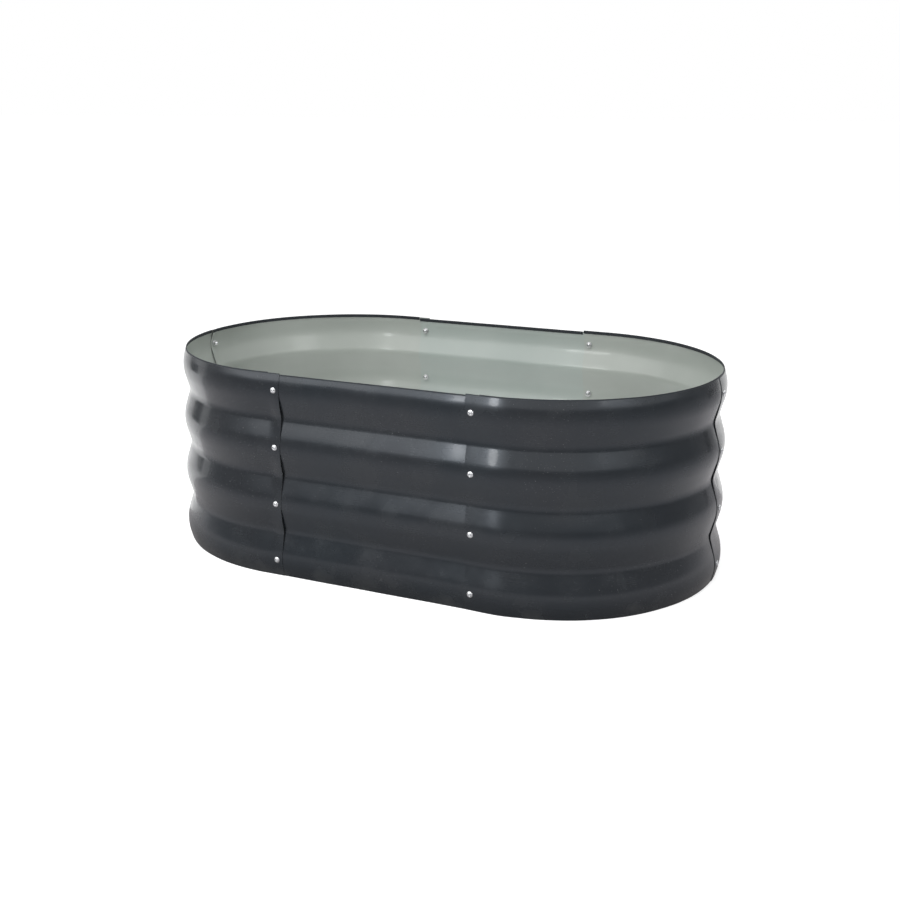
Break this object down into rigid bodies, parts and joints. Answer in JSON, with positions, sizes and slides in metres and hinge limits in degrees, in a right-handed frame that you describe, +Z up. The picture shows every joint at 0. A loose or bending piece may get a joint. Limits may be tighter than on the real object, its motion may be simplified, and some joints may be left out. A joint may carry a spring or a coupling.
{
  "type": "raised garden bed",
  "caption": "Oval raised garden bed of corrugated sheet steel, open above and below, with a folded rim and bolted lap seams.",
  "frame": {"origin": "on the ground at the middle of the oval", "axes": "+X along the bed, +Y across it towards the far side, +Z up"},
  "size_m": [1.2072, 0.7074, 0.42],
  "materials": {
    "panel_paint": "satin coil coating, anthracite outside and grey-green inside",
    "bolt_steel": "bright zinc plate",
    "washer_steel": "bright zinc plate",
    "nut_steel": "bright zinc plate"
  },
  "bodies": {
    "root": {"near_side_panel": "panel_paint", "far_side_panel": "panel_paint", "near_right_end_panel": "panel_paint", "far_right_end_panel": "panel_paint", "far_left_end_panel": "panel_paint", "near_left_end_panel": "panel_paint", "bolts_near_left": "bolt_steel", "washers_near_left": "washer_steel", "nuts_near_left": "nut_steel", "bolts_near_right": "bolt_steel", "washers_near_right": "washer_steel", "nuts_near_right": "nut_steel", "bolts_far_left": "bolt_steel", "washers_far_left": "washer_steel", "nuts_far_left": "nut_steel", "bolts_far_right": "bolt_steel", "washers_far_right": "washer_steel", "nuts_far_right": "nut_steel", "bolts_right_end": "bolt_steel", "washers_right_end": "washer_steel", "nuts_right_end": "nut_steel", "bolts_left_end": "bolt_steel", "washers_left_end": "washer_steel", "nuts_left_end": "nut_steel"}
  },
  "joints": []
}
